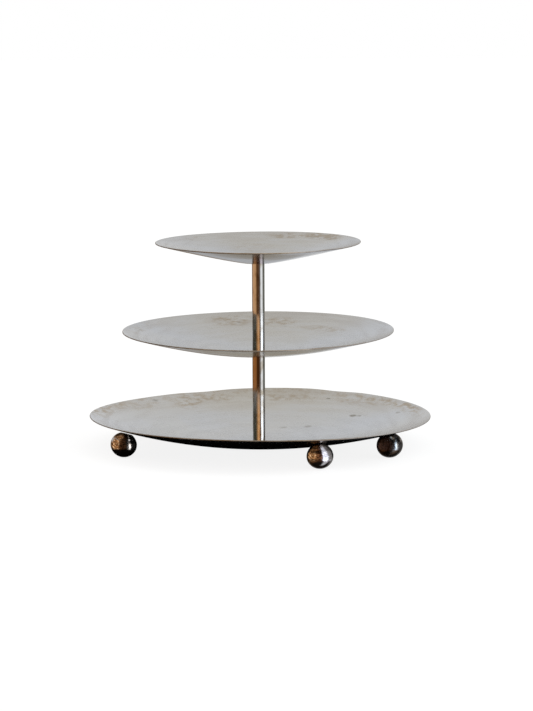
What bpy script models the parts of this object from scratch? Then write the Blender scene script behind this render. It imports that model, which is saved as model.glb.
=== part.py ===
"""A three-tier cake stand: three shallow dished plates clamped on a slim tube, on four small ball feet.

Metres, +Z up. The origin is on the floor under the post's axis, and azimuths are measured about +Z
from the stand's front, -Y, towards +X.
"""

import math

import bmesh
import bpy
from mathutils import Vector

GAP = 0.0003  # left between pieces that touch
MERGE = 0.000001

# Plates: one thickness of sheet, each with a flat seat round its centre hole and a rising dish
SHEET = 0.0012
SEAT_RADIUS = 0.015
DISH_RINGS = 6
PLATE_SEGMENTS = 72
PLATES = {
    # name: rim radius, rim height, depth of the seat below the rim, power of the dish's rise
    "bottom_plate": (0.177, 0.0328, 0.0272, 1.83),
    "middle_plate": (0.1402, 0.1210, 0.0230, 1.46),
    "top_plate": (0.106, 0.2134, 0.0211, 1.06),
}

# Posts: tubes with a threaded plug in each end
POST_RADIUS = 0.0065
POST_BORE_RADIUS = 0.005
POST_SEGMENTS = 32
PLUG_LENGTH = 0.018

# M6 fasteners on the post's axis, with low button heads that clear the floor
THREAD_RADIUS = 0.003
HOLE_RADIUS = THREAD_RADIUS + GAP
SCREW_SEGMENTS = 24
HEAD_ARCS = 3
SCREW_LENGTH = 0.016
HEAD_RADIUS = 0.00525
HEAD_HEIGHT = 0.0021
HEAD_EDGE_HEIGHT = 0.0006
HEAD_CROWN_RADIUS = 0.0029
SOCKET_WIDTH = 0.004
SOCKET_DEPTH = 0.0014
WASHER_RADIUS = 0.009
WASHER_THICKNESS = 0.0008
JOINING_STUD_REACH = 0.013  # into each tube's plug

# Feet: slightly flattened balls, screwed square to the dish's underside on M4 weld studs
FOOT_AZIMUTHS = {"left": -65, "front": 23.7, "right": 61, "back": 178}
FOOT_SEAT_RADIUS = 0.149
BALL_RADIUS = 0.0135
BALL_HALF_HEIGHT = 0.0128
BALL_CENTRE_HEIGHT = 0.0125
BALL_SEGMENTS = 24
BALL_ARCS = 12
STUD_RADIUS = 0.002
STUD_LENGTH = 0.010
TAPPING_DEPTH = 0.012

# Finishes: colour, roughness, metallic
FINISHES = {
    "plate_steel": ((0.55, 0.53, 0.50, 1), 0.35, 1.0),
    "post_steel": ((0.60, 0.57, 0.53, 1), 0.20, 1.0),
    "foot_steel": ((0.42, 0.37, 0.33, 1), 0.18, 1.0),
    "fastener_steel": ((0.50, 0.50, 0.50, 1), 0.40, 1.0),
}


def clear_objects():
    for thing in list(bpy.data.objects):
        bpy.data.objects.remove(thing)


def finish(name, kind):
    """A material of its own for the part called name, in one of the stand's finishes."""
    colour, roughness, metallic = FINISHES[kind]
    material = bpy.data.materials.new(f"{name}_{kind}")
    material.use_nodes = True
    shader = material.node_tree.nodes["Principled BSDF"]
    shader.inputs["Base Color"].default_value = colour
    shader.inputs["Roughness"].default_value = roughness
    shader.inputs["Metallic"].default_value = metallic
    return material


def add_part(name, mesh, kind, height=0.0):
    """One named part from its mesh, smooth except over its sharp corners."""
    part = bpy.data.objects.new(name, mesh)
    bpy.context.collection.objects.link(part)
    part.location.z = height
    mesh.shade_smooth()
    mesh.set_sharp_from_angle(angle=math.radians(30))
    if not mesh.materials:
        mesh.materials.append(finish(name, kind))
    return part


def turned_body(outline, segments):
    """Spins (radius, height) points about Z. An outline from axis to axis stays open, any other closes."""
    body = bmesh.new()
    corners = [body.verts.new((radius, 0, height)) for radius, height in outline]
    on_axis = outline[0][0] == 0 and outline[-1][0] == 0
    following = corners[1:] if on_axis else corners[1:] + corners[:1]
    edges = [body.edges.new(pair) for pair in zip(corners, following)]
    bmesh.ops.spin(
        body, geom=corners + edges, cent=(0, 0, 0), axis=(0, 0, 1), angle=math.tau, steps=segments
    )
    bmesh.ops.remove_doubles(body, verts=body.verts, dist=MERGE)
    bmesh.ops.recalc_face_normals(body, faces=body.faces)
    return body


def to_mesh(name, body):
    mesh = bpy.data.meshes.new(name)
    body.to_mesh(mesh)
    body.free()
    return mesh


def add_turned(name, outline, segments, kind, height=0.0):
    return add_part(name, to_mesh(name, turned_body(outline, segments)), kind, height)


def ring_outline(inner, outer, length):
    """A plain ring or tube standing on z = 0."""
    return [(inner, 0), (outer, 0), (outer, length), (inner, length)]


def rod_outline(radius, length, chamfer=0.0004):
    """A solid rod standing on z = 0, with its ends chamfered."""
    return [
        (0, 0),
        (radius - chamfer, 0),
        (radius, chamfer),
        (radius, length - chamfer),
        (radius - chamfer, length),
        (0, length),
    ]


def dish_height(plate, radius):
    """Height of a plate's upper surface: flat over the seat, then rising to the rim."""
    rim_radius, rim_height, depth, power = PLATES[plate]
    rise = max(0.0, (radius - SEAT_RADIUS) / (rim_radius - SEAT_RADIUS))
    return rim_height - depth * (1 - rise**power)


def dish_slope(plate, radius):
    """Angle of a plate's surface at a radius, from its height just inside and outside."""
    step = 0.0001
    rise = dish_height(plate, radius + step) - dish_height(plate, radius - step)
    return math.atan2(rise, 2 * step)


def seat_top(plate):
    return dish_height(plate, 0.0)


def seat_underside(plate):
    return seat_top(plate) - SHEET


def make_plate(plate):
    rim_radius = PLATES[plate][0]
    steps = [SEAT_RADIUS + (rim_radius - SEAT_RADIUS) * i / DISH_RINGS for i in range(DISH_RINGS + 1)]
    upper = [(radius, dish_height(plate, radius)) for radius in [HOLE_RADIUS, *steps]]
    lower = [(radius, height - SHEET) for radius, height in reversed(upper)]
    add_turned(plate, upper + lower, PLATE_SEGMENTS, "plate_steel")


def make_post(post, lower_plate, upper_plate):
    """A tube from one plate's seat to the next plate's underside, with a plug flush in each end."""
    base = seat_top(lower_plate) + GAP
    head = seat_underside(upper_plate) - GAP
    tube = ring_outline(POST_BORE_RADIUS, POST_RADIUS, head - base)
    add_turned(post, tube, POST_SEGMENTS, "post_steel", base)
    plug = ring_outline(HOLE_RADIUS, POST_BORE_RADIUS - GAP, PLUG_LENGTH)
    add_turned(f"{post}_base_plug", plug, SCREW_SEGMENTS, "fastener_steel", base)
    add_turned(f"{post}_head_plug", plug, SCREW_SEGMENTS, "fastener_steel", head - PLUG_LENGTH)


def make_washer(name, height):
    ring = ring_outline(HOLE_RADIUS, WASHER_RADIUS, WASHER_THICKNESS)
    add_turned(name, ring, POST_SEGMENTS, "fastener_steel", height)


def make_socket_cutter(name):
    """The hexagonal socket that a screw's head is cut with, reaching past the head's crown."""
    cutter = bmesh.new()
    bmesh.ops.create_cone(
        cutter,
        cap_ends=True,
        segments=6,
        radius1=SOCKET_WIDTH / math.sqrt(3),
        radius2=SOCKET_WIDTH / math.sqrt(3),
        depth=2 * SOCKET_DEPTH,
    )
    socket = bpy.data.objects.new(f"{name}_socket", to_mesh(f"{name}_socket", cutter))
    bpy.context.collection.objects.link(socket)
    socket.location.z = HEAD_HEIGHT
    socket.hide_render = True
    socket.display_type = "WIRE"
    return socket


def head_crown():
    """Quarter of an ellipse from the head's edge up to the flat round its socket."""
    width = HEAD_RADIUS - HEAD_CROWN_RADIUS
    height = HEAD_HEIGHT - HEAD_EDGE_HEIGHT
    turns = [math.radians(90) * i / HEAD_ARCS for i in range(HEAD_ARCS + 1)]
    return [
        (HEAD_CROWN_RADIUS + width * math.cos(turn), HEAD_EDGE_HEIGHT + height * math.sin(turn))
        for turn in turns
    ]


def make_screw(name, height, upright):
    """A button-head screw whose head bears on z = height; upright means head above, shank down."""
    outline = [
        (0, -SCREW_LENGTH),
        (THREAD_RADIUS - GAP, -SCREW_LENGTH),
        (THREAD_RADIUS, GAP - SCREW_LENGTH),
        (THREAD_RADIUS, 0),
        (HEAD_RADIUS, 0),
        *head_crown(),
        (0, HEAD_HEIGHT),
    ]
    screw = add_turned(name, outline, SCREW_SEGMENTS, "fastener_steel", height)
    socket = make_socket_cutter(name)
    socket.parent = screw
    cut = screw.modifiers.new("socket", "BOOLEAN")
    cut.operation = "DIFFERENCE"
    cut.solver = "EXACT"
    cut.object = socket
    if not upright:
        screw.rotation_euler.x = math.pi


def make_axis_fasteners():
    """What clamps the stand along the post's axis."""
    below = seat_underside("bottom_plate") - GAP - WASHER_THICKNESS
    make_washer("base_washer", below)
    make_screw("base_screw", below - GAP, upright=False)

    above = seat_top("top_plate") + GAP
    make_washer("top_washer", above)
    make_screw("top_screw", above + WASHER_THICKNESS + GAP, upright=True)

    stud_base = seat_underside("middle_plate") - JOINING_STUD_REACH
    stud_length = SHEET + 2 * JOINING_STUD_REACH
    stud = rod_outline(THREAD_RADIUS, stud_length)
    add_turned("joining_stud", stud, SCREW_SEGMENTS, "fastener_steel", stud_base)


def ball_mesh(seat_height, slope):
    """A tapped ball hanging below its seat at the local origin, with a small level flat to rest on.

    The ball's axis is the local Z axis, square to the sheet, so the floor is a sloping plane here.
    """
    centre = -(seat_height - BALL_CENTRE_HEIGHT) / math.cos(slope)
    top = -GAP
    # angle round the ball's outline, from straight down to where the top flat cuts it
    last_angle = math.acos(-(top - centre) / BALL_HALF_HEIGHT)
    angles = [last_angle * i / BALL_ARCS for i in range(BALL_ARCS + 1)]
    arc = [(BALL_RADIUS * math.sin(a), centre - BALL_HALF_HEIGHT * math.cos(a)) for a in angles]
    tapping_radius = STUD_RADIUS + GAP
    tapping = [(tapping_radius, top), (tapping_radius, top - TAPPING_DEPTH), (0, top - TAPPING_DEPTH)]
    body = turned_body(arc + tapping, BALL_SEGMENTS)

    down = Vector((0, math.sin(slope), -math.cos(slope)))
    everything = body.verts[:] + body.edges[:] + body.faces[:]
    cut = bmesh.ops.bisect_plane(
        body, geom=everything, dist=MERGE, plane_co=down * seat_height, plane_no=down, clear_outer=True
    )
    rim = [item for item in cut["geom_cut"] if isinstance(item, bmesh.types.BMEdge)]
    bmesh.ops.edgeloop_fill(body, edges=rim)
    bmesh.ops.recalc_face_normals(body, faces=body.faces)
    return to_mesh("ball_foot", body)


def make_feet():
    """Four ball feet round the bottom plate, each with its weld stud, turned into place by an empty."""
    seat_height = dish_height("bottom_plate", FOOT_SEAT_RADIUS) - SHEET
    slope = dish_slope("bottom_plate", FOOT_SEAT_RADIUS)
    ball = ball_mesh(seat_height, slope)
    stud = to_mesh("foot_stud", turned_body(rod_outline(STUD_RADIUS, STUD_LENGTH), SCREW_SEGMENTS))
    for place, azimuth in FOOT_AZIMUTHS.items():
        turn = math.radians(azimuth)
        seat = bpy.data.objects.new(f"foot_seat_{place}", None)
        bpy.context.collection.objects.link(seat)
        seat.location = (
            FOOT_SEAT_RADIUS * math.sin(turn),
            -FOOT_SEAT_RADIUS * math.cos(turn),
            seat_height,
        )
        seat.rotation_euler = (-slope, 0, turn)
        add_part(f"ball_foot_{place}", ball, "foot_steel").parent = seat
        add_part(f"foot_stud_{place}", stud, "fastener_steel", -GAP - STUD_LENGTH).parent = seat


clear_objects()
for plate_name in PLATES:
    make_plate(plate_name)
make_post("lower_post", "bottom_plate", "middle_plate")
make_post("upper_post", "middle_plate", "top_plate")
make_axis_fasteners()
make_feet()
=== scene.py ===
"""Looks for the three-tier cake stand: spun plates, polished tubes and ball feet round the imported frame.

Metres, in the frame's own axes: +Z up, the floor at 0, and the front of the stand towards -Y.
"""

import math

import bmesh
import bpy
from mathutils import Matrix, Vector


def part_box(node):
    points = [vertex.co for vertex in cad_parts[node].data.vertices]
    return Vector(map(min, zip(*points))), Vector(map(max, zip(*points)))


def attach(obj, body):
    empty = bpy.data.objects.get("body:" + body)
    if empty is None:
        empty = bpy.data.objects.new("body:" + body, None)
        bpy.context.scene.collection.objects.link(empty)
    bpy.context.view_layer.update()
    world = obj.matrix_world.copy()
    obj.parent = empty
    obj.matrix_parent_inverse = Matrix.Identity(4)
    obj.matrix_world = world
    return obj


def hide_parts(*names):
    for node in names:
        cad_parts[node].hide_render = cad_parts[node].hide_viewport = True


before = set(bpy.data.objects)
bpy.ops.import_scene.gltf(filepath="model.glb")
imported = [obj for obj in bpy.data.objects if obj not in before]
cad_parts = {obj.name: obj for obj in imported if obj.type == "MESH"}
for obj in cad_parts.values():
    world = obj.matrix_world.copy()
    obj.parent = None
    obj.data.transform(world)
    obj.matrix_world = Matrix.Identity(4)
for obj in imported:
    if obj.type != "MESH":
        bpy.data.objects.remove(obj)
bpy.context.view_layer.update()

BODY = "root"
MM = 0.001
MERGE = 0.000001
GAP = 0.0003  # left between pieces that touch

# Plates: the frame gives each one's rim and depth. Sheet, seat and hole repeat its own, and each dish rises
# by a slightly higher power of the radius
SHEET = 0.0012
SEAT_RADIUS = 0.015
HOLE_RADIUS = 0.0033
RISE_POWER = {"bottom_plate": 1.93, "middle_plate": 1.55, "top_plate": 1.12}
PLATE_RINGS = 48
PLATE_SEGMENTS = 320
EDGE_STEPS = 4
EDGE_REACH = 0.55  # how far in from the rim its cut edge reaches, in sheet thicknesses

# Hand-spun sheet is never quite true. How far each rim is trimmed, dropped and set off to the right, in mm
RIM_TRIM = {"bottom_plate": 0.6, "middle_plate": 0.0, "top_plate": 0.1}
RIM_DROP = {"bottom_plate": -0.6, "middle_plate": -0.3, "top_plate": 0.5}
RIM_OFFSET = {"bottom_plate": 1.3, "middle_plate": -0.4, "top_plate": -0.1}
# the waves round its rim, in mm: cosine and sine parts of 1, 2, 3 and 4 waves a turn, from +X
RIM_WAVES = {
    "bottom_plate": [(-0.65, -0.5), (-0.7, 1.0), (-0.35, -0.05), (0.4, -0.1)],
    "middle_plate": [(0.3, 1.3), (0.3, 0.3)],
    "top_plate": [(0.35, -0.8), (0.3, 0.25)],
}
WAVE_GROWTH = (1.0, 2.5, 4.0, 6.0)  # powers of the radius that each kind of wave grows with
# and the knocks in it: angle and half-width in degrees, depth in mm
RIM_KNOCKS = {
    "bottom_plate": [(110, 12, 0.95), (62, 11, 0.95)],
    "middle_plate": [(-62, 14, -0.4)],
    "top_plate": [(-48, 12, -0.5)],
}
KNOCK_GROWTH = 8  # power of the radius that a knock grows with

# Marks on the sheets: angle from +X, share of the rim's radius, half-width in degrees along the ring,
# half-width across it as a share of the rim's radius, and strength.
MARK_END = 1.6  # where a mark has faded out: squared distance from its middle, in half-widths
# Smooth warm haze on the upper surfaces
HAZES = {
    "bottom_plate": [(92, 0.98, 75, 0.30, 0.8), (88, 0.45, 60, 0.50, 0.3)],
    "middle_plate": [(86, 0.80, 62, 0.55, 0.8)],
    "top_plate": [(80, 0.85, 62, 0.55, 0.9)],
}
# mottled stains on the upper surfaces
STAINS = {
    "bottom_plate": [
        (92, 0.97, 85, 0.045, 0.60),
        (113, 0.89, 15, 0.065, 0.90),
        (122, 0.82, 7, 0.050, 0.70),
        (78, 0.88, 15, 0.055, 0.80),
        (164, 0.95, 18, 0.060, 0.90),
        (140, 0.90, 10, 0.050, 0.50),
        (24, 0.95, 20, 0.050, 0.80),
        (48, 0.90, 12, 0.060, 0.60),
        (200, 0.93, 16, 0.050, 0.40),
        (-35, 0.80, 30, 0.150, 0.25),
    ],
    "middle_plate": [
        (104, 0.84, 13, 0.110, 0.90),
        (80, 0.80, 11, 0.090, 0.80),
        (46, 0.72, 18, 0.060, 0.60),
        (165, 0.93, 20, 0.060, 0.40),
    ],
    "top_plate": [
        (44, 0.91, 17, 0.090, 1.80),
        (72, 0.88, 12, 0.080, 1.20),
        (133, 0.90, 9, 0.060, 0.50),
        (100, 0.50, 25, 0.200, 0.30),
    ],
}
# small dark marks on the upper surfaces
SCARS = {
    "bottom_plate": [
        (38, 0.715, 2.4, 0.018, 1.3),
        (35, 0.730, 1.4, 0.012, 1.0),
        (62, 0.895, 0.9, 0.010, 1.0),
        (20, 0.880, 1.6, 0.014, 0.8),
        (50, 0.450, 3.0, 0.025, 0.6),
        (68, 0.390, 3.0, 0.020, 0.5),
        (132, 0.940, 1.4, 0.016, 0.9),
        (-15, 0.520, 1.5, 0.020, 0.6),
    ],
    "middle_plate": [(101, 0.80, 1.2, 0.014, 0.7), (166, 0.90, 1.2, 0.014, 0.6), (74, 0.72, 1.6, 0.012, 0.5)],
    "top_plate": [(140, 0.86, 1.2, 0.016, 0.6), (52, 0.86, 2.5, 0.014, 0.6)],
}
# and brown patches of painted reflection and shade on the undersides, for the warm room and the shade that
# they mirror
UNDER_REFLECTION_PATCHES = {
    "bottom_plate": [(-60, 0.80, 40, 0.20, 0.5)],
    "middle_plate": [(-95, 0.80, 45, 0.35, 0.7)],
    "top_plate": [(-100, 0.88, 22, 0.24, 1.5), (-72, 0.72, 16, 0.20, 1.3)],
}

POST_SEGMENTS = 96
POST_BORE_RADIUS = 0.005
POST_EASE = 0.0003

# Ball feet, repeating the frame's own: seated square to the bottom plate's underside
FOOT_SEAT_RADIUS = 0.149
SLOPE_STEP = 0.0001
BALL_RADIUS = 0.0135
BALL_HALF_HEIGHT = 0.0128
BALL_CENTRE_HEIGHT = 0.0125
BALL_SEGMENTS = 72
BALL_ARCS = 44
TAPPING_RADIUS = 0.0023
TAPPING_DEPTH = 0.012
# Finish of each ball: roughness, and the least and most that tarnish has darkened it
BALL_WEAR = {
    "left": (0.12, 0.05, 0.6),
    "front": (0.12, 0.0, 0.55),
    "right": (0.22, 0.65, 1.0),
    "back": (0.15, 0.2, 0.7),
}

# Fasteners
THREAD_RADIUS = 0.003
THREAD_PITCH = 0.001
THREAD_DEPTH = 0.0005
THREAD_ROWS = 8  # rows of vertices to one turn of the thread
SCREW_SEGMENTS = 64
HEAD_HEIGHT = 0.0021
HEAD_CROWN_RADIUS = 0.0029
HEAD_EDGE_HEIGHT = 0.0006
HEAD_ARCS = 8
SOCKET_WIDTH = 0.004
SOCKET_DEPTH = 0.0014
WASHER_CHAMFER = 0.0001


# ---------------------------------------------------------------- meshes


def turned_mesh(name, outline, segments, closed=True):
    """A mesh turned about Z from (radius, height) points; an open outline runs from axis to axis."""
    points = []
    rings = []
    for radius, height in outline:
        count = segments if radius > 0 else 1
        rings.append(range(len(points), len(points) + count))
        turns = [math.tau * i / segments for i in range(count)]
        points += [(radius * math.cos(turn), radius * math.sin(turn), height) for turn in turns]
    faces = []
    for lower, upper in zip(rings, rings[1:] + (rings[:1] if closed else [])):
        for i in range(segments):
            around = ((lower, i), (lower, i + 1), (upper, i + 1), (upper, i))
            corners = [ring[k % len(ring)] for ring, k in around]
            faces.append(tuple(dict.fromkeys(corners)))
    mesh = bpy.data.meshes.new(name)
    mesh.from_pydata(points, [], faces)
    body = bmesh.new()
    body.from_mesh(mesh)
    bmesh.ops.recalc_face_normals(body, faces=body.faces)
    body.to_mesh(mesh)
    body.free()
    return mesh


def add_piece(name, mesh, replaced, sharp_angle=35):
    """One visible piece on the stand's body, standing for a node of the frame."""
    piece = bpy.data.objects.new(name, mesh)
    bpy.context.collection.objects.link(piece)
    mesh.shade_smooth()
    mesh.set_sharp_from_angle(angle=math.radians(sharp_angle))
    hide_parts(replaced)
    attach(piece, BODY)
    return piece


def measure_sheet(plate):
    """Rim radius, rim height and depth of a plate's sheet: the frame's, trimmed and dropped."""
    low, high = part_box(plate)
    drop = MM * RIM_DROP[plate]
    return high.x - MM * RIM_TRIM[plate], high.z - drop, high.z - low.z - SHEET - drop


SHEETS = {plate: measure_sheet(plate) for plate in RISE_POWER}


def dish_height(plate, radius):
    """Height of a plate's upper surface before its rim's waves."""
    rim_radius, rim_height, depth = SHEETS[plate]
    rise = max(0.0, (radius - SEAT_RADIUS) / (rim_radius - SEAT_RADIUS))
    return rim_height - depth * (1 - rise ** RISE_POWER[plate])


def plate_outline(plate):
    """Upper surface from hole to rim, round the cut edge, and back along the underside."""
    edge_radius = SHEET / 2
    last = SHEETS[plate][0] - edge_radius
    radii = [SEAT_RADIUS + (last - SEAT_RADIUS) * i / PLATE_RINGS for i in range(PLATE_RINGS + 1)]
    upper = [(radius, dish_height(plate, radius)) for radius in [HOLE_RADIUS, *radii]]
    lower = [(radius, height - SHEET) for radius, height in reversed(upper)]
    middle = dish_height(plate, last) - edge_radius
    turns = [math.pi * (0.5 - i / EDGE_STEPS) for i in range(1, EDGE_STEPS)]
    edge = [(last + edge_radius * math.cos(t), middle + edge_radius * math.sin(t)) for t in turns]
    return upper + edge + lower


def wave_lift(plate, share, angle):
    """How far the sheet stands off its true dish, at a share of the rim's radius and an angle."""
    lift = 0.0
    for degrees, half_width, depth in RIM_KNOCKS[plate]:
        aside = math.degrees(math.remainder(angle - math.radians(degrees), math.tau)) / half_width
        if abs(aside) < 1:
            lift -= 0.5 * MM * depth * (1 + math.cos(math.pi * aside)) * share ** KNOCK_GROWTH
    for order, ((cosine, sine), growth) in enumerate(zip(RIM_WAVES[plate], WAVE_GROWTH), start=1):
        wave = cosine * math.cos(order * angle) + sine * math.sin(order * angle)
        lift += MM * wave * share ** growth
    return lift


def make_plate(plate, upper_finish, under_finish, edge_finish):
    """A spun dish with a slightly uneven rim, in three finishes: upper surface, underside, cut edge."""
    mesh = turned_mesh(plate, plate_outline(plate), PLATE_SEGMENTS)
    for finish in (upper_finish, under_finish, edge_finish):
        mesh.materials.append(finish)
    rim_radius = SHEETS[plate][0]
    for face in mesh.polygons:
        radius = math.hypot(face.center.x, face.center.y)
        on_edge = radius > rim_radius - EDGE_REACH * SHEET or radius < HOLE_RADIUS
        face.material_index = 2 if on_edge else (0 if face.normal.z > 0 else 1)
    for vertex in mesh.vertices:
        share = math.hypot(vertex.co.x, vertex.co.y) / rim_radius
        vertex.co.z += wave_lift(plate, share, math.atan2(vertex.co.y, vertex.co.x))
        vertex.co.x += MM * RIM_OFFSET[plate] * share
    return add_piece(f"{plate}_sheet", mesh, plate)


def make_post(node, finish):
    """A polished tube with eased ends."""
    low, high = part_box(node)
    outer = high.x
    outline = [
        (POST_BORE_RADIUS, low.z),
        (outer - POST_EASE, low.z),
        (outer, low.z + POST_EASE),
        (outer, high.z - POST_EASE),
        (outer - POST_EASE, high.z),
        (POST_BORE_RADIUS, high.z),
    ]
    mesh = turned_mesh(node, outline, POST_SEGMENTS)
    mesh.materials.append(finish)
    return add_piece(f"{node}_tube", mesh, node)


def foot_seat():
    """Height and slope of the bottom plate's underside where the balls are seated."""
    radii = (FOOT_SEAT_RADIUS - SLOPE_STEP, FOOT_SEAT_RADIUS, FOOT_SEAT_RADIUS + SLOPE_STEP)
    inner, middle, outer = (dish_height("bottom_plate", radius) for radius in radii)
    return middle - SHEET, math.atan2(outer - inner, 2 * SLOPE_STEP)


def make_ball(place, finish):
    """A slightly flattened ball, square to the sheet it is screwed to, tapped above and flat below."""
    low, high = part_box(f"ball_foot_{place}")
    turn = math.atan2(low.x + high.x, -low.y - high.y)
    seat_height, slope = foot_seat()
    centre = -(seat_height - BALL_CENTRE_HEIGHT) / math.cos(slope)
    last_angle = math.acos((centre + GAP) / BALL_HALF_HEIGHT)
    angles = [last_angle * i / BALL_ARCS for i in range(BALL_ARCS + 1)]
    arc = [(BALL_RADIUS * math.sin(a), centre - BALL_HALF_HEIGHT * math.cos(a)) for a in angles]
    tapping = [(TAPPING_RADIUS, -GAP), (TAPPING_RADIUS, -GAP - TAPPING_DEPTH), (0, -GAP - TAPPING_DEPTH)]
    mesh = turned_mesh(f"ball_{place}", arc + tapping, BALL_SEGMENTS, closed=False)

    seat = (FOOT_SEAT_RADIUS * math.sin(turn), -FOOT_SEAT_RADIUS * math.cos(turn), seat_height)
    mesh.transform(Matrix.Translation(seat) @ Matrix.Rotation(turn, 4, "Z") @ Matrix.Rotation(-slope, 4, "X"))
    body = bmesh.new()
    body.from_mesh(mesh)
    everything = body.verts[:] + body.edges[:] + body.faces[:]
    floor_cut = bmesh.ops.bisect_plane(
        body, geom=everything, dist=MERGE, plane_co=(0, 0, 0), plane_no=(0, 0, -1), clear_outer=True
    )
    rim = [item for item in floor_cut["geom_cut"] if isinstance(item, bmesh.types.BMEdge)]
    bmesh.ops.edgeloop_fill(body, edges=rim)
    bmesh.ops.recalc_face_normals(body, faces=body.faces)
    body.to_mesh(mesh)
    body.free()
    mesh.materials.append(finish)
    return add_piece(f"ball_{place}", mesh, f"ball_foot_{place}")


def make_washer(node, finish):
    """A flat washer with its outer corners broken."""
    low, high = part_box(node)
    outer = high.x
    corner = WASHER_CHAMFER
    outline = [
        (HOLE_RADIUS, low.z),
        (outer - corner, low.z),
        (outer, low.z + corner),
        (outer, high.z - corner),
        (outer - corner, high.z),
        (HOLE_RADIUS, high.z),
    ]
    mesh = turned_mesh(node, outline, SCREW_SEGMENTS)
    mesh.materials.append(finish)
    return add_piece(f"{node}_ring", mesh, node)


def thread_radius(height, angle):
    """Radius of a sharp right-hand thread at a height and an angle."""
    phase = (height / THREAD_PITCH - angle / math.tau) % 1.0
    return THREAD_RADIUS - THREAD_DEPTH * abs(2 * phase - 1)


def cut_thread(mesh, low, high):
    """Sinks a thread into the shank's vertices between two heights."""
    for vertex in mesh.vertices:
        if low < vertex.co.z < high and vertex.co.xy.length > THREAD_RADIUS - THREAD_DEPTH / 2:
            angle = math.atan2(vertex.co.y, vertex.co.x)
            radius = thread_radius(vertex.co.z, angle)
            vertex.co.x = radius * math.cos(angle)
            vertex.co.y = radius * math.sin(angle)


def shank_rows(low, high):
    """Heights close enough together to carry the thread's ridges."""
    rows = round((high - low) / THREAD_PITCH * THREAD_ROWS)
    return [low + (high - low) * i / rows for i in range(rows + 1)]


def make_stud(node, finish):
    """The threaded stud that joins the two posts through the middle plate."""
    low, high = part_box(node)
    root = THREAD_RADIUS - THREAD_DEPTH
    start, stop = low.z + THREAD_DEPTH, high.z - THREAD_DEPTH
    shank = [(THREAD_RADIUS, row) for row in shank_rows(start, stop)]
    outline = [(0, low.z), (root, low.z), *shank, (root, high.z), (0, high.z)]
    mesh = turned_mesh(node, outline, SCREW_SEGMENTS, closed=False)
    cut_thread(mesh, start, stop)
    mesh.materials.append(finish)
    return add_piece(f"{node}_rod", mesh, node, sharp_angle=20)


def head_crown(width):
    """Quarter of an ellipse from the screw head's edge up to the flat round its socket."""
    turns = [math.radians(90) * i / HEAD_ARCS for i in range(HEAD_ARCS + 1)]
    inner = HEAD_CROWN_RADIUS
    rise = HEAD_HEIGHT - HEAD_EDGE_HEIGHT
    return [(inner + (width - inner) * math.cos(t), HEAD_EDGE_HEIGHT + rise * math.sin(t)) for t in turns]


def make_screw(node, upright, finish):
    """A low button-head screw with a hexagonal socket and a real thread, worked out head upwards."""
    low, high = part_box(node)
    length = high.z - low.z - HEAD_HEIGHT
    head_width = high.x
    root = THREAD_RADIUS - THREAD_DEPTH
    start, stop = THREAD_DEPTH - length, -THREAD_PITCH
    outline = [
        (0, -length),
        (root, -length),
        *[(THREAD_RADIUS, row) for row in shank_rows(start, stop)],
        (THREAD_RADIUS, 0),
        (head_width, 0),
        *head_crown(head_width),
        (0, HEAD_HEIGHT),
    ]
    mesh = turned_mesh(node, outline, SCREW_SEGMENTS, closed=False)
    cut_thread(mesh, start, stop)
    mesh.materials.append(finish)
    piece = add_piece(f"{node}_bolt", mesh, node, sharp_angle=25)
    cut_socket(piece)
    bearing = high.z - HEAD_HEIGHT if upright else low.z + HEAD_HEIGHT
    turn = Matrix.Identity(4) if upright else Matrix.Rotation(math.pi, 4, "X")
    piece.data.transform(Matrix.Translation((0, 0, bearing)) @ turn)
    return piece


def cut_socket(piece):
    """Cuts the hexagonal socket into a screw's head, and leaves no modifier behind."""
    cutter_body = bmesh.new()
    corner_radius = SOCKET_WIDTH / math.sqrt(3)
    bmesh.ops.create_cone(
        cutter_body,
        cap_ends=True,
        segments=6,
        radius1=corner_radius,
        radius2=corner_radius,
        depth=2 * SOCKET_DEPTH,
        matrix=Matrix.Translation((0, 0, HEAD_HEIGHT)),
    )
    cutter_mesh = bpy.data.meshes.new("socket_cutter")
    cutter_body.to_mesh(cutter_mesh)
    cutter_body.free()
    cutter = bpy.data.objects.new("socket_cutter", cutter_mesh)
    bpy.context.collection.objects.link(cutter)
    cut = piece.modifiers.new("socket", "BOOLEAN")
    cut.operation = "DIFFERENCE"
    cut.object = cutter
    cut.solver = "EXACT"
    evaluated = piece.evaluated_get(bpy.context.evaluated_depsgraph_get())
    shaped = bpy.data.meshes.new_from_object(evaluated)
    piece.modifiers.clear()
    piece.data = shaped
    bpy.data.objects.remove(cutter)


# ---------------------------------------------------------------- materials


PLATE_TONE = {"bottom_plate": 1.02, "middle_plate": 0.955, "top_plate": 0.94}
PLATE_COOL = (0.60, 0.62, 0.655)
PLATE_PLAIN = (0.61, 0.615, 0.615)
PLATE_WARM = (0.60, 0.575, 0.52)
PLATE_MAUVE = (0.50, 0.47, 0.45)
PLATE_STAIN = (0.47, 0.40, 0.31)
PLATE_SCAR = (0.26, 0.24, 0.20)
UNDER_LIGHT = (0.60, 0.61, 0.63)
UNDER_WARM = (0.50, 0.46, 0.39)
UNDER_REFLECTED_BROWN = (0.25, 0.19, 0.10)
EDGE_BROWN = (0.40, 0.29, 0.18)
EDGE_RUBBED = (0.64, 0.53, 0.41)
EDGE_REFLECTED_DARK = (0.20, 0.155, 0.12)
EDGE_REFLECTED_GREY = (0.46, 0.44, 0.42)
POST_LIGHT = (0.70, 0.67, 0.64)
POST_TARNISH = (0.46, 0.39, 0.31)
POST_REFLECTED_BROWN = (0.32, 0.17, 0.05)
BALL_LIGHT = (0.64, 0.59, 0.55)
BALL_TARNISH = (0.11, 0.07, 0.045)
FASTENER_DARK = (0.42, 0.42, 0.43)
FASTENER_LIGHT = (0.62, 0.61, 0.59)
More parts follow.
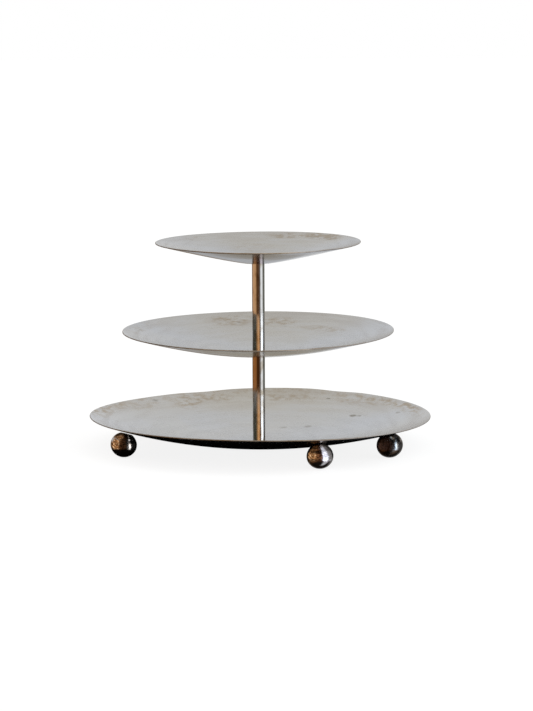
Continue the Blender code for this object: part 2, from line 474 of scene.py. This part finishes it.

# Painted reflection: a brown band on a tube's left, for the warm room that it mirrors. In metres: its foot
# and top, how ragged they are, and how far each fades. Across the tube it fades out between the two places
# along X.
POST_REFLECTION_BANDS = {"lower_post": (0.058, 0.125)}
POST_REFLECTION_RAGGED = 0.006
POST_REFLECTION_FADES = (0.006, 0.002)
POST_REFLECTION_SIDE = (-0.0005, 0.0020)


class Nodes:
    """Short ways to add and join the nodes of one tree."""

    def __init__(self, tree):
        self.tree = tree

    def add(self, kind, **settings):
        node = self.tree.nodes.new(kind)
        for name, value in settings.items():
            setattr(node, name, value)
        return node

    def join(self, source, target):
        self.tree.links.new(source, target)

    def value(self, node, socket, source):
        """Sets a socket to a number or a colour, or joins it to another node's output."""
        if isinstance(source, bpy.types.NodeSocket):
            self.join(source, node.inputs[socket])
        elif isinstance(source, tuple):
            node.inputs[socket].default_value = (*source, 1)
        else:
            node.inputs[socket].default_value = source

    def math(self, operation, first, second=0.0, third=0.0):
        node = self.add("ShaderNodeMath", operation=operation)
        for socket, source in enumerate((first, second, third)):
            self.value(node, socket, source)
        return node.outputs[0]

    def span(self, source, low, high, to_low=0.0, to_high=1.0):
        """Maps source from low..high onto to_low..to_high, smoothly and clamped."""
        node = self.add("ShaderNodeMapRange", interpolation_type="SMOOTHSTEP")
        for socket, amount in enumerate((source, low, high, to_low, to_high)):
            self.value(node, socket, amount)
        return node.outputs[0]

    def mix(self, share, first, second):
        node = self.add("ShaderNodeMix", data_type="RGBA")
        for socket, source in ((0, share), (6, first), (7, second)):
            self.value(node, socket, source)
        return node.outputs[2]

    def split(self, vector):
        node = self.add("ShaderNodeSeparateXYZ")
        self.join(vector, node.inputs[0])
        return node.outputs

    def turn(self, x, y):
        """The angle round Z in degrees: 0 to the front, 90 to the right and 180 behind."""
        angle = self.math("ARCTAN2", x, self.math("MULTIPLY", y, -1.0))
        return self.math("MULTIPLY", angle, 180 / math.pi)

    def ring(self, turn, stops):
        """Colours blended round Z, from (angle, colour) stops in turn's own degrees."""
        node = self.add("ShaderNodeValToRGB")
        self.join(self.math("MULTIPLY_ADD", turn, 1 / 360, 0.5), node.inputs[0])
        elements = node.color_ramp.elements
        while len(elements) < len(stops):
            elements.new(0.5)
        for element, (degrees, colour) in zip(elements, stops):
            element.position = degrees / 360 + 0.5
            element.color = (*colour, 1)
        return node.outputs[0]


class Finish(Nodes):
    """A Principled material in the stand's own coordinates, with the textures that finishes are made from."""

    def __init__(self, name, metallic=1.0):
        self.material = bpy.data.materials.new(name)
        self.material.use_nodes = True
        super().__init__(self.material.node_tree)
        self.shader = self.tree.nodes["Principled BSDF"]
        self.shader.inputs["Metallic"].default_value = metallic
        self.place = self.add("ShaderNodeTexCoord").outputs["Object"]

    def look(self, colour, roughness):
        self.value(self.shader, "Base Color", colour)
        self.value(self.shader, "Roughness", roughness)

    def stretch(self, scale):
        node = self.add("ShaderNodeMapping")
        self.join(self.place, node.inputs["Vector"])
        node.inputs["Scale"].default_value = scale
        return node.outputs[0]

    def noise(self, scale, detail=4.0, roughness=0.55, distortion=0.0, where=None):
        node = self.add("ShaderNodeTexNoise")
        self.join(where or self.place, node.inputs["Vector"])
        for name, amount in (
            ("Scale", scale), ("Detail", detail), ("Roughness", roughness), ("Distortion", distortion)
        ):
            node.inputs[name].default_value = amount
        return node.outputs["Fac"]

    def polar(self, rim_radius):
        """The share of the rim's radius, and the angle from +X in degrees."""
        x, y, _ = self.split(self.place)
        squares = self.math("MULTIPLY_ADD", y, y, self.math("MULTIPLY", x, x))
        share = self.math("DIVIDE", self.math("SQRT", squares), rim_radius)
        return share, self.math("MULTIPLY", self.math("ARCTAN2", y, x), 180 / math.pi)

    def ringed(self, share, angle, along, across):
        """Coordinates drawn out round the axis, for the marks that spinning leaves."""
        turn = self.math("MULTIPLY", angle, math.pi / 180)
        join = self.add("ShaderNodeCombineXYZ")
        for socket, operation in enumerate(("COSINE", "SINE")):
            self.join(self.math("MULTIPLY", self.math(operation, turn), along), join.inputs[socket])
        self.join(self.math("MULTIPLY", share, across), join.inputs[2])
        return join.outputs[0]

    def spots(self, share, angle, marks):
        """How strongly the stated marks show together: each fades from its middle to its ends."""
        total = 0.0
        for at_angle, at_share, half_angle, half_share, strength in marks:
            along = self.math("DIVIDE", self.math("SUBTRACT", angle, at_angle), half_angle)
            across = self.math("DIVIDE", self.math("SUBTRACT", share, at_share), half_share)
            distance = self.math("MULTIPLY_ADD", along, along, self.math("MULTIPLY", across, across))
            total = self.math("ADD", self.span(distance, 0.0, MARK_END, strength, 0.0), total)
        return total

    def bump(self, height, strength, distance):
        node = self.add("ShaderNodeBump")
        node.inputs["Strength"].default_value = strength
        node.inputs["Distance"].default_value = distance
        self.join(height, node.inputs["Height"])
        self.join(node.outputs[0], self.shader.inputs["Normal"])


def plate_finish(plate):
    """Satin sheet: cool clouds, warm haze, ringed smudges, mottled stains and small dark marks."""
    finish = Finish(f"{plate}_satin")
    share, angle = finish.polar(SHEETS[plate][0])
    broad_rings = finish.noise(1.0, detail=3.0, where=finish.ringed(share, angle, 2.2, 16.0))
    fine_rings = finish.noise(1.0, detail=2.0, where=finish.ringed(share, angle, 2.5, 60.0))
    smears = finish.noise(1.0, detail=4.0, roughness=0.65, where=finish.ringed(share, angle, 9.0, 34.0))
    clouds = finish.noise(9.0, detail=3.0, distortion=0.6)
    blotches = finish.noise(150.0, detail=4.0, roughness=0.62)
    cool, plain, warm, mauve, brown, dark = (
        tuple(PLATE_TONE[plate] * part for part in colour)
        for colour in (PLATE_COOL, PLATE_PLAIN, PLATE_WARM, PLATE_MAUVE, PLATE_STAIN, PLATE_SCAR)
    )

    colour = finish.mix(finish.span(clouds, 0.38, 0.62), cool, plain)
    haze = finish.spots(share, angle, HAZES[plate])
    streaks = finish.span(broad_rings, 0.3, 0.6, 0.6, 1.0)
    colour = finish.mix(finish.math("MULTIPLY", haze, streaks), colour, warm)
    near_rim = finish.span(share, 0.62, 0.90)
    outer = finish.math("MULTIPLY", near_rim, finish.span(broad_rings, 0.42, 0.64, 0.0, 0.3))
    colour = finish.mix(outer, colour, mauve)

    mottle = finish.span(finish.math("MULTIPLY_ADD", smears, 0.8, blotches), 0.76, 1.10)
    stains = finish.math("MULTIPLY", finish.spots(share, angle, STAINS[plate]), mottle)
    smudges = finish.span(smears, 0.56, 0.74, 0.0, 0.22)
    stained = finish.math("MINIMUM", finish.math("ADD", stains, smudges), 1.0)
    colour = finish.mix(stained, colour, brown)
    broken = finish.span(blotches, 0.4, 0.6, 0.4, 1.0)
    scars = finish.math("MULTIPLY", finish.spots(share, angle, SCARS[plate]), broken)
    colour = finish.mix(finish.math("MINIMUM", scars, 1.0), colour, dark)

    rough = finish.math("MULTIPLY_ADD", stained, 0.10, finish.span(broad_rings, 0.3, 0.7, 0.23, 0.29))
    finish.look(colour, rough)
    finish.bump(finish.math("MULTIPLY_ADD", smears, 0.6, fine_rings), strength=0.03, distance=0.0003)
    return finish.material


def underside_finish(plate):
    """The brighter, smoother underside, with warm patches, brown patches of painted reflection and shade, and
    faint spinning marks.
    """
    finish = Finish(f"{plate}_underside")
    share, angle = finish.polar(SHEETS[plate][0])
    under_clouds = finish.noise(22.0, detail=4.0, distortion=0.7)
    rings = finish.noise(1.0, detail=2.0, where=finish.ringed(share, angle, 1.5, 40.0))
    patches = finish.span(under_clouds, 0.45, 0.66, 0.0, 0.6)
    colour = finish.mix(patches, UNDER_LIGHT, UNDER_WARM)
    reflection_breakup = finish.span(under_clouds, 0.3, 0.6, 0.7, 1.0)
    # painted reflection and shade: brown patches near the undersides' front rims
    under_reflection_mask = finish.math("MULTIPLY", finish.spots(share, angle, UNDER_REFLECTION_PATCHES[plate]), reflection_breakup)
    rough = finish.math("MULTIPLY_ADD", patches, 0.06, finish.span(rings, 0.3, 0.7, 0.09, 0.15))
    finish.look(finish.mix(under_reflection_mask, colour, UNDER_REFLECTED_BROWN), rough)
    finish.bump(rings, strength=0.12, distance=0.0003)
    return finish.material


def edge_finish():
    """The sheet's bare cut edge: brown, rubbed bright in places, with painted reflection darker to the left,
    greyer to the right.
    """
    finish = Finish("cut_edge")
    rubs = finish.noise(28.0, detail=4.0, roughness=0.65)
    worn = finish.span(rubs, 0.35, 0.6, 0.6, 0.9)
    _, angle = finish.polar(1.0)
    sideways = finish.math("COSINE", finish.math("MULTIPLY", angle, math.pi / 180))
    # painted reflection: the edge darkens to the left and turns grey to the right, after the room it mirrors
    dark_reflection_left = finish.math("MULTIPLY", finish.span(sideways, -0.70, -0.25, 1.0, 0.0), worn)
    grey_reflection_right = finish.math("MULTIPLY", finish.span(sideways, 0.20, 0.60), worn)
    colour = finish.mix(finish.span(rubs, 0.42, 0.6), EDGE_BROWN, EDGE_RUBBED)
    colour = finish.mix(dark_reflection_left, colour, EDGE_REFLECTED_DARK)
    colour = finish.mix(grey_reflection_right, colour, EDGE_REFLECTED_GREY)
    finish.look(colour, finish.span(rubs, 0.3, 0.7, 0.36, 0.2))
    finish.bump(finish.noise(700.0, detail=2.0), strength=0.2, distance=0.0002)
    return finish.material


def post_finish(post):
    """Polished tube with faint drawing marks along it, thin tarnish, a painted brown reflection on one side
    and fine pits.
    """
    finish = Finish(f"{post}_polish")
    clouds = finish.noise(1.0, detail=4.0, distortion=0.4, where=finish.stretch((150.0, 150.0, 60.0)))
    marks = finish.noise(400.0, detail=3.0, where=finish.stretch((1.0, 1.0, 0.03)))
    pits = finish.noise(1100.0, detail=1.0)
    tarnish = finish.span(clouds, 0.44, 0.64)
    colour = finish.mix(tarnish, POST_LIGHT, POST_TARNISH)
    # painted reflection: a brown band on the tube's left, for the warm room it mirrors
    if post in POST_REFLECTION_BANDS:
        x, _, z = finish.split(finish.place)
        low, high = POST_REFLECTION_BANDS[post]
        low_fade, high_fade = POST_REFLECTION_FADES
        height = finish.math("MULTIPLY_ADD", clouds, POST_REFLECTION_RAGGED, z)
        above_foot = finish.span(height, low, low + low_fade)
        below_top = finish.span(height, high, high + high_fade, 1.0, 0.0)
        side = finish.span(x, *POST_REFLECTION_SIDE, 0.8, 0.0)
        reflection_band = finish.math("MULTIPLY", finish.math("MULTIPLY", above_foot, below_top), side)
        colour = finish.mix(reflection_band, colour, POST_REFLECTED_BROWN)
    finish.look(colour, finish.math("MULTIPLY_ADD", tarnish, 0.05, finish.span(marks, 0.3, 0.7, 0.05, 0.09)))
    finish.bump(finish.math("MULTIPLY_ADD", pits, 0.3, marks), strength=0.10, distance=0.0002)
    return finish.material


def ball_finish(place):
    """Polished ball, tarnished brown in clouds, with rubbing scratches and small dents."""
    roughness, least, most = BALL_WEAR[place]
    finish = Finish(f"ball_{place}_polish")
    clouds = finish.noise(95.0, detail=4.0, distortion=0.8)
    scratches = finish.noise(420.0, detail=3.0, where=finish.stretch((1.0, 0.6, 0.2)))
    dents = finish.noise(170.0, detail=2.0)
    tarnish = finish.span(clouds, 0.36, 0.60, least, most)
    colour = finish.mix(tarnish, BALL_LIGHT, BALL_TARNISH)
    rough = finish.span(scratches, 0.4, 0.7, roughness - 0.03, roughness + 0.06)
    finish.look(colour, finish.math("MULTIPLY_ADD", tarnish, 0.05, rough))
    finish.bump(finish.math("MULTIPLY_ADD", dents, 0.9, scratches), strength=0.22, distance=0.0003)
    return finish.material


def fastener_finish(name):
    """Plain machined steel, worn in patches."""
    finish = Finish(name)
    wear = finish.noise(300.0, detail=4.0)
    colour = finish.mix(finish.span(wear, 0.4, 0.65), FASTENER_DARK, FASTENER_LIGHT)
    finish.look(colour, finish.span(wear, 0.3, 0.7, 0.3, 0.5))
    finish.bump(wear, strength=0.15, distance=0.0002)
    return finish.material


def stage_finish(name, colour):
    """A dull finish that mirrors nothing, for what only the stage has."""
    finish = Finish(name, metallic=0.0)
    finish.look(colour, 0.9)
    finish.shader.inputs["Specular IOR Level"].default_value = 0.0
    return finish


# ---------------------------------------------------------------- stage, light and camera

FLOOR_SIZE = 12
FLOOR_HEIGHT = -0.0002
FLOOR_COLOUR = (0.25, 0.25, 0.25)
FLOOR_GLOW = 0.87

# Painted shadow: dark discs on the table where it lies in shade under the stand: name, middle and radius
SHADED_DISCS = [("shaded_table", 0.0, 0.0, 0.135), ("shaded_patch", -0.125, -0.075, 0.05)]
SHADE_HEIGHT = -0.0001
SHADE_COLOUR = (0.01, 0.01, 0.01)
SHADE_SEGMENTS = 96

# The cards round the feet in front: their radius and their ends either side of the front, in degrees
CARD_RADIUS = 0.024
CARD_HALF_TURN = 96
CARD_STEPS = 48
CARD_RAGGED = 39.6  # how far noise pushes the colours round, in degrees
CARD_SIDES = (8, 22)  # where the brown side gives way to the window's, in degrees
CARD_CREAM = (1.0, 0.78, 0.52)
CARD_CREAM_SHARE = {"left": 1.0, "front": 0.9, "right": 0.0}
CARD_CREAM_END = (-34, -18)  # where the cream streaks fade out, in degrees
# Where each is bright: heights of the brown side's foot and top, then of the window side's. Just below each
# of these heights it fades, over this distance and to or from this share
CARD_HEIGHTS = {
    "left": (0.005, 0.034, 0.006, 0.020),
    "front": (0.010, 0.026, -0.010, 0.045),
    "right": (0.0, 0.030, 0.0, 0.024),
}
CARD_TOP_FADE = (0.006, 0.12)
CARD_FOOT_FADE = (0.004, 0.3)
# What each shows: angles round the ball, 0 to the front and 90 to the right, and the colours there
CARD_STOPS = {
    "left": [
        (-128, (0.20, 0.09, 0.03)),
        (-96, (0.34, 0.15, 0.05)),
        (-44, (0.58, 0.27, 0.095)),
        (-32, (0.22, 0.095, 0.035)),
        (-18, (0.07, 0.030, 0.014)),
        (14, (0.04, 0.020, 0.011)),
        (24, (0.04, 0.035, 0.03)),
        (29, (0.32, 0.33, 0.35)),
        (34, (0.36, 0.37, 0.39)),
        (37, (3.0, 3.1, 3.2)),
        (46, (3.0, 3.1, 3.2)),
        (51, (0.10, 0.10, 0.10)),
        (62, (0.015, 0.015, 0.015)),
    ],
    "front": [
        (-128, (0.20, 0.09, 0.03)),
        (-96, (0.42, 0.20, 0.07)),
        (-36, (0.56, 0.28, 0.11)),
        (-20, (0.28, 0.13, 0.055)),
        (4, (0.20, 0.09, 0.05)),
        (15, (0.20, 0.12, 0.10)),
        (22, (1.9, 2.15, 2.7)),
        (50, (1.9, 2.15, 2.7)),
        (58, (0.62, 0.66, 0.74)),
        (96, (0.40, 0.42, 0.46)),
    ],
    "right": [
        (-128, (0.03, 0.03, 0.03)),
        (-70, (0.12, 0.07, 0.05)),
        (0, (0.10, 0.06, 0.05)),
        (24, (0.10, 0.10, 0.12)),
        (35, (0.45, 0.55, 0.70)),
        (40, (4.6, 6.6, 9.0)),
        (47, (4.6, 6.6, 9.0)),
        (56, (0.30, 0.36, 0.45)),
        (126, (0.10, 0.12, 0.14)),
    ],
}

# The painted room, as rings of colour one above another: angles as seen from the stand, 0 to the front and 90
# to the right, and the colours there. near_room and far_room are at one height: near_room is what a surface
# mirrors itself, and far_room is what reaches the lens by way of a second surface.
ROOM = {
    "beneath": [
        (-180, (0.010, 0.008, 0.006)),
        (28, (0.010, 0.008, 0.006)),
        (50, (0.62, 0.66, 0.74)),
        (76, (0.62, 0.66, 0.74)),
        (100, (0.010, 0.008, 0.006)),
    ],
    "table": [
        (-180, (0.48, 0.49, 0.51)),
        (-145, (0.10, 0.06, 0.03)),
        (-108, (0.08, 0.04, 0.016)),
        (-80, (0.36, 0.17, 0.07)),
        (-40, (0.26, 0.12, 0.05)),
        (-22, (0.07, 0.03, 0.016)),
        (14, (0.05, 0.025, 0.018)),
        (28, (0.12, 0.08, 0.08)),
        (48, (0.80, 0.76, 0.86)),
        (80, (0.80, 0.76, 0.86)),
        (100, (0.06, 0.06, 0.07)),
        (140, (0.20, 0.20, 0.20)),
        (180, (0.48, 0.49, 0.51)),
    ],
    "low_room": [
        (-180, (0.24, 0.18, 0.12)),
        (-150, (0.15, 0.10, 0.06)),
        (-105, (0.68, 0.41, 0.23)),
        (-48, (0.58, 0.34, 0.17)),
        (-30, (0.14, 0.065, 0.026)),
        (2, (0.10, 0.045, 0.020)),
        (14, (0.17, 0.11, 0.08)),
        (28, (0.16, 0.15, 0.15)),
        (36, (0.20, 0.20, 0.21)),
        (41, (1.0, 1.06, 1.12)),
        (78, (1.0, 1.06, 1.12)),
        (88, (0.17, 0.18, 0.165)),
        (150, (0.15, 0.15, 0.13)),
        (175, (0.9, 0.9, 0.9)),
        (180, (0.9, 0.9, 0.9)),
    ],
    "near_room": [
        (-180, (0.72, 0.72, 0.72)),
        (-140, (0.70, 0.71, 0.73)),
        (-90, (0.62, 0.60, 0.57)),
        (-20, (0.64, 0.61, 0.58)),
        (40, (0.90, 0.92, 0.95)),
        (90, (0.90, 0.92, 0.95)),
        (145, (0.70, 0.70, 0.71)),
        (180, (0.72, 0.72, 0.72)),
    ],
    "far_room": [
        (-180, (0.72, 0.72, 0.72)),
        (-150, (0.70, 0.71, 0.74)),
        (-118, (0.085, 0.085, 0.065)),
        (-50, (0.070, 0.070, 0.045)),
        (-28, (0.55, 0.30, 0.12)),
        (0, (1.45, 0.78, 0.34)),
        (14, (1.00, 0.55, 0.26)),
        (30, (0.14, 0.10, 0.08)),
        (40, (0.16, 0.15, 0.14)),
        (44, (2.6, 2.8, 3.0)),
        (82, (2.6, 2.8, 3.0)),
        (92, (0.14, 0.15, 0.15)),
        (138, (0.20, 0.20, 0.20)),
        (156, (0.74, 0.74, 0.74)),
        (180, (0.72, 0.72, 0.72)),
    ],
    "sky": [
        (-180, (0.62, 0.59, 0.53)),
        (-110, (0.56, 0.56, 0.56)),
        (-40, (0.50, 0.46, 0.42)),
        (20, (0.50, 0.47, 0.44)),
        (40, (1.2, 1.25, 1.3)),
        (84, (1.2, 1.25, 1.3)),
        (110, (0.60, 0.61, 0.62)),
        (180, (0.62, 0.59, 0.53)),
    ],
}
# The elevations over which each ring takes over from the one below it, in degrees. The one called room is
# near_room or far_room.
ROOM_RISE = {"table": (-54, -26), "low_room": (-16, -12), "room": (-1, 9), "sky": (38, 50)}
ONCE_AND_TWICE = 1.5  # between a first and a second reflection
BACKDROP = (1.0, 1.0, 1.0)

CAMERA_LENS = 196
CAMERA_SENSOR = 36
CAMERA_PLACE = (0.0081, -3.9593, 0.6636)
CAMERA_DOWN = 8.18
CAMERA_ROLL = -0.25


def hide_from(piece, *rays):
    """Leaves a piece out of what these kinds of ray meet."""
    for ray in rays:
        setattr(piece, f"visible_{ray}", False)


def make_floor():
    """A plain pale floor that takes soft shadows and isn't mirrored in the polished metal."""
    bpy.ops.mesh.primitive_plane_add(size=FLOOR_SIZE, location=(0, 0, FLOOR_HEIGHT))
    floor = bpy.context.object
    floor.name = "floor"
    finish = stage_finish("floor_pale", FLOOR_COLOUR)
    finish.value(finish.shader, "Emission Color", (1, 1, 1))
    finish.value(finish.shader, "Emission Strength", FLOOR_GLOW)
    floor.data.materials.append(finish.material)
    hide_from(floor, "glossy", "diffuse")


def make_shade_discs():
    """Painted shadow for the polished undersides and the left ball to mirror close by: dark discs, unseen by
    the camera.
    """
    shade = stage_finish("shade", SHADE_COLOUR).material
    for name, x, y, radius in SHADED_DISCS:
        bpy.ops.mesh.primitive_circle_add(
            radius=radius, vertices=SHADE_SEGMENTS, fill_type="NGON", location=(x, y, SHADE_HEIGHT)
        )
        table = bpy.context.object
        table.name = name
        table.data.materials.append(shade)
        hide_from(table, "camera", "shadow", "diffuse")


def card_mesh(place, middle_x, middle_y):
    """A thin wall round the front of a foot, from the table up to the plate, about the foot's middle."""
    turns = [math.radians(CARD_HALF_TURN * (2 * i / CARD_STEPS - 1)) for i in range(CARD_STEPS + 1)]
    round_ball = [(CARD_RADIUS * math.sin(turn), -CARD_RADIUS * math.cos(turn)) for turn in turns]
    foot = [(x, y, 0.0) for x, y in round_ball]
    top = []
    for x, y in round_ball:
        radius = math.hypot(middle_x + x, middle_y + y)
        top.append((x, y, dish_height("bottom_plate", radius) - SHEET - GAP))
    across = len(foot)
    faces = [(i, i + 1, i + 1 + across, i + across) for i in range(CARD_STEPS)]
    mesh = bpy.data.meshes.new(f"card_{place}")
    mesh.from_pydata(foot + top, [], faces)
    return mesh


def card_finish(place):
    """Light from a card's inner face only: brown with cream streaks on one side, the window on the other."""
    finish = stage_finish(f"card_{place}_light", (0.0, 0.0, 0.0))
    x, y, height = finish.split(finish.place)
    turn = finish.turn(x, y)
    ragged = finish.math("SUBTRACT", finish.noise(330.0, detail=3.0, roughness=0.7), 0.5)
    shown = finish.ring(finish.math("MULTIPLY_ADD", ragged, CARD_RAGGED, turn), CARD_STOPS[place])
    streaks = finish.noise(190.0, detail=4.0, roughness=0.6, where=finish.stretch((1.0, 1.0, 2.2)))
    cream_side = finish.span(turn, *CARD_CREAM_END, CARD_CREAM_SHARE[place], 0.0)
    creamy = finish.math("MULTIPLY", finish.span(streaks, 0.55, 0.62), cream_side)
    finish.value(finish.shader, "Emission Color", finish.mix(creamy, shown, CARD_CREAM))

    brown_side = finish.span(turn, *CARD_SIDES, 1.0, 0.4)
    streaked = finish.math("MULTIPLY_ADD", finish.span(streaks, 0.40, 0.58, -0.85, 0.7), brown_side, 1.0)
    brown_foot, brown_top, window_foot, window_top = CARD_HEIGHTS[place]
    top_fade, top_share = CARD_TOP_FADE
    past_top = finish.math("SUBTRACT", height, finish.span(turn, *CARD_SIDES, brown_top, window_top))
    upper = finish.span(past_top, -top_fade, 0.0, 1.0, top_share)
    foot_fade, foot_share = CARD_FOOT_FADE
    past_foot = finish.math("SUBTRACT", height, finish.span(turn, *CARD_SIDES, brown_foot, window_foot))
    lower = finish.span(past_foot, -foot_fade, 0.0, foot_share, 1.0)
    strength = finish.add("ShaderNodeNewGeometry").outputs["Backfacing"]
    for part in (lower, upper, streaked):
        strength = finish.math("MULTIPLY", strength, part)
    finish.value(finish.shader, "Emission Strength", strength)
    return finish.material


def make_foot_card(place):
    """A low card curved round the front of a foot, up to the plate, seen only where the ball mirrors it."""
    low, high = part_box(f"ball_foot_{place}")
    middle_x, middle_y = (low.x + high.x) / 2, (low.y + high.y) / 2
    card = bpy.data.objects.new(f"card_{place}", card_mesh(place, middle_x, middle_y))
    card.location = (middle_x, middle_y, 0)
    bpy.context.collection.objects.link(card)
    card.data.materials.append(card_finish(place))
    hide_from(card, "camera", "diffuse", "shadow")


def make_studio():
    """The room that the metal mirrors: a window to the right and brown to the left low down, paler above.

    The camera itself sees a plain white backdrop instead.
    """
    world = bpy.data.worlds.new("studio")
    world.cycles.sampling_method = "NONE"
    world.use_nodes = True
    bpy.context.scene.world = world
    nodes = Nodes(world.node_tree)
    path = nodes.add("ShaderNodeLightPath").outputs
    x, y, z = nodes.split(nodes.add("ShaderNodeTexCoord").outputs["Generated"])
    elevation = nodes.math("MULTIPLY", nodes.math("ARCSINE", z), 180 / math.pi)
    turn = nodes.turn(x, y)

    rings = {name: nodes.ring(turn, stops) for name, stops in ROOM.items()}
    twice = nodes.math("GREATER_THAN", path["Glossy Depth"], ONCE_AND_TWICE)
    rings["room"] = nodes.mix(twice, rings["near_room"], rings["far_room"])
    colour = rings["beneath"]
    for name, (low, high) in ROOM_RISE.items():
        colour = nodes.mix(nodes.span(elevation, low, high), colour, rings[name])

    mirrored = nodes.tree.nodes["Background"]
    nodes.value(mirrored, 0, colour)
    plain = nodes.add("ShaderNodeBackground")
    nodes.value(plain, 0, BACKDROP)
    choice = nodes.add("ShaderNodeMixShader")
    for socket, source in enumerate((path["Is Camera Ray"], mirrored.outputs[0], plain.outputs[0])):
        nodes.join(source, choice.inputs[socket])
    nodes.join(choice.outputs[0], nodes.tree.nodes["World Output"].inputs[0])


def make_camera():
    """A long lens, a little above the stand, on its front."""
    camera = bpy.data.objects.new("camera", bpy.data.cameras.new("camera"))
    bpy.context.collection.objects.link(camera)
    camera.data.lens = CAMERA_LENS
    camera.data.sensor_width = CAMERA_SENSOR
    camera.location = CAMERA_PLACE
    camera.rotation_euler = (math.radians(90 - CAMERA_DOWN), 0, 0)
    camera.rotation_euler.rotate_axis("Z", math.radians(CAMERA_ROLL))
    bpy.context.scene.camera = camera


# ---------------------------------------------------------------- the stand

make_camera()
make_studio()
make_floor()
make_shade_discs()
for card_place in CARD_STOPS:
    make_foot_card(card_place)
bpy.context.scene.view_settings.view_transform = "Standard"

cut_edge = edge_finish()
for plate_name in RISE_POWER:
    make_plate(plate_name, plate_finish(plate_name), underside_finish(plate_name), cut_edge)

for post_name in ("lower_post", "upper_post"):
    make_post(post_name, post_finish(post_name))

for ball_place in BALL_WEAR:
    make_ball(ball_place, ball_finish(ball_place))

machined = fastener_finish("machined_steel")
for washer_name in ("base_washer", "top_washer"):
    make_washer(washer_name, machined)
make_screw("base_screw", upright=False, finish=machined)
make_screw("top_screw", upright=True, finish=machined)
make_stud("joining_stud", machined)

# The plugs and weld studs have no finer piece of their own, so their nodes are shown as they are
for hidden_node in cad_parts.values():
    if not hidden_node.hide_render:
        hidden_node.data.materials.clear()
        hidden_node.data.materials.append(machined)
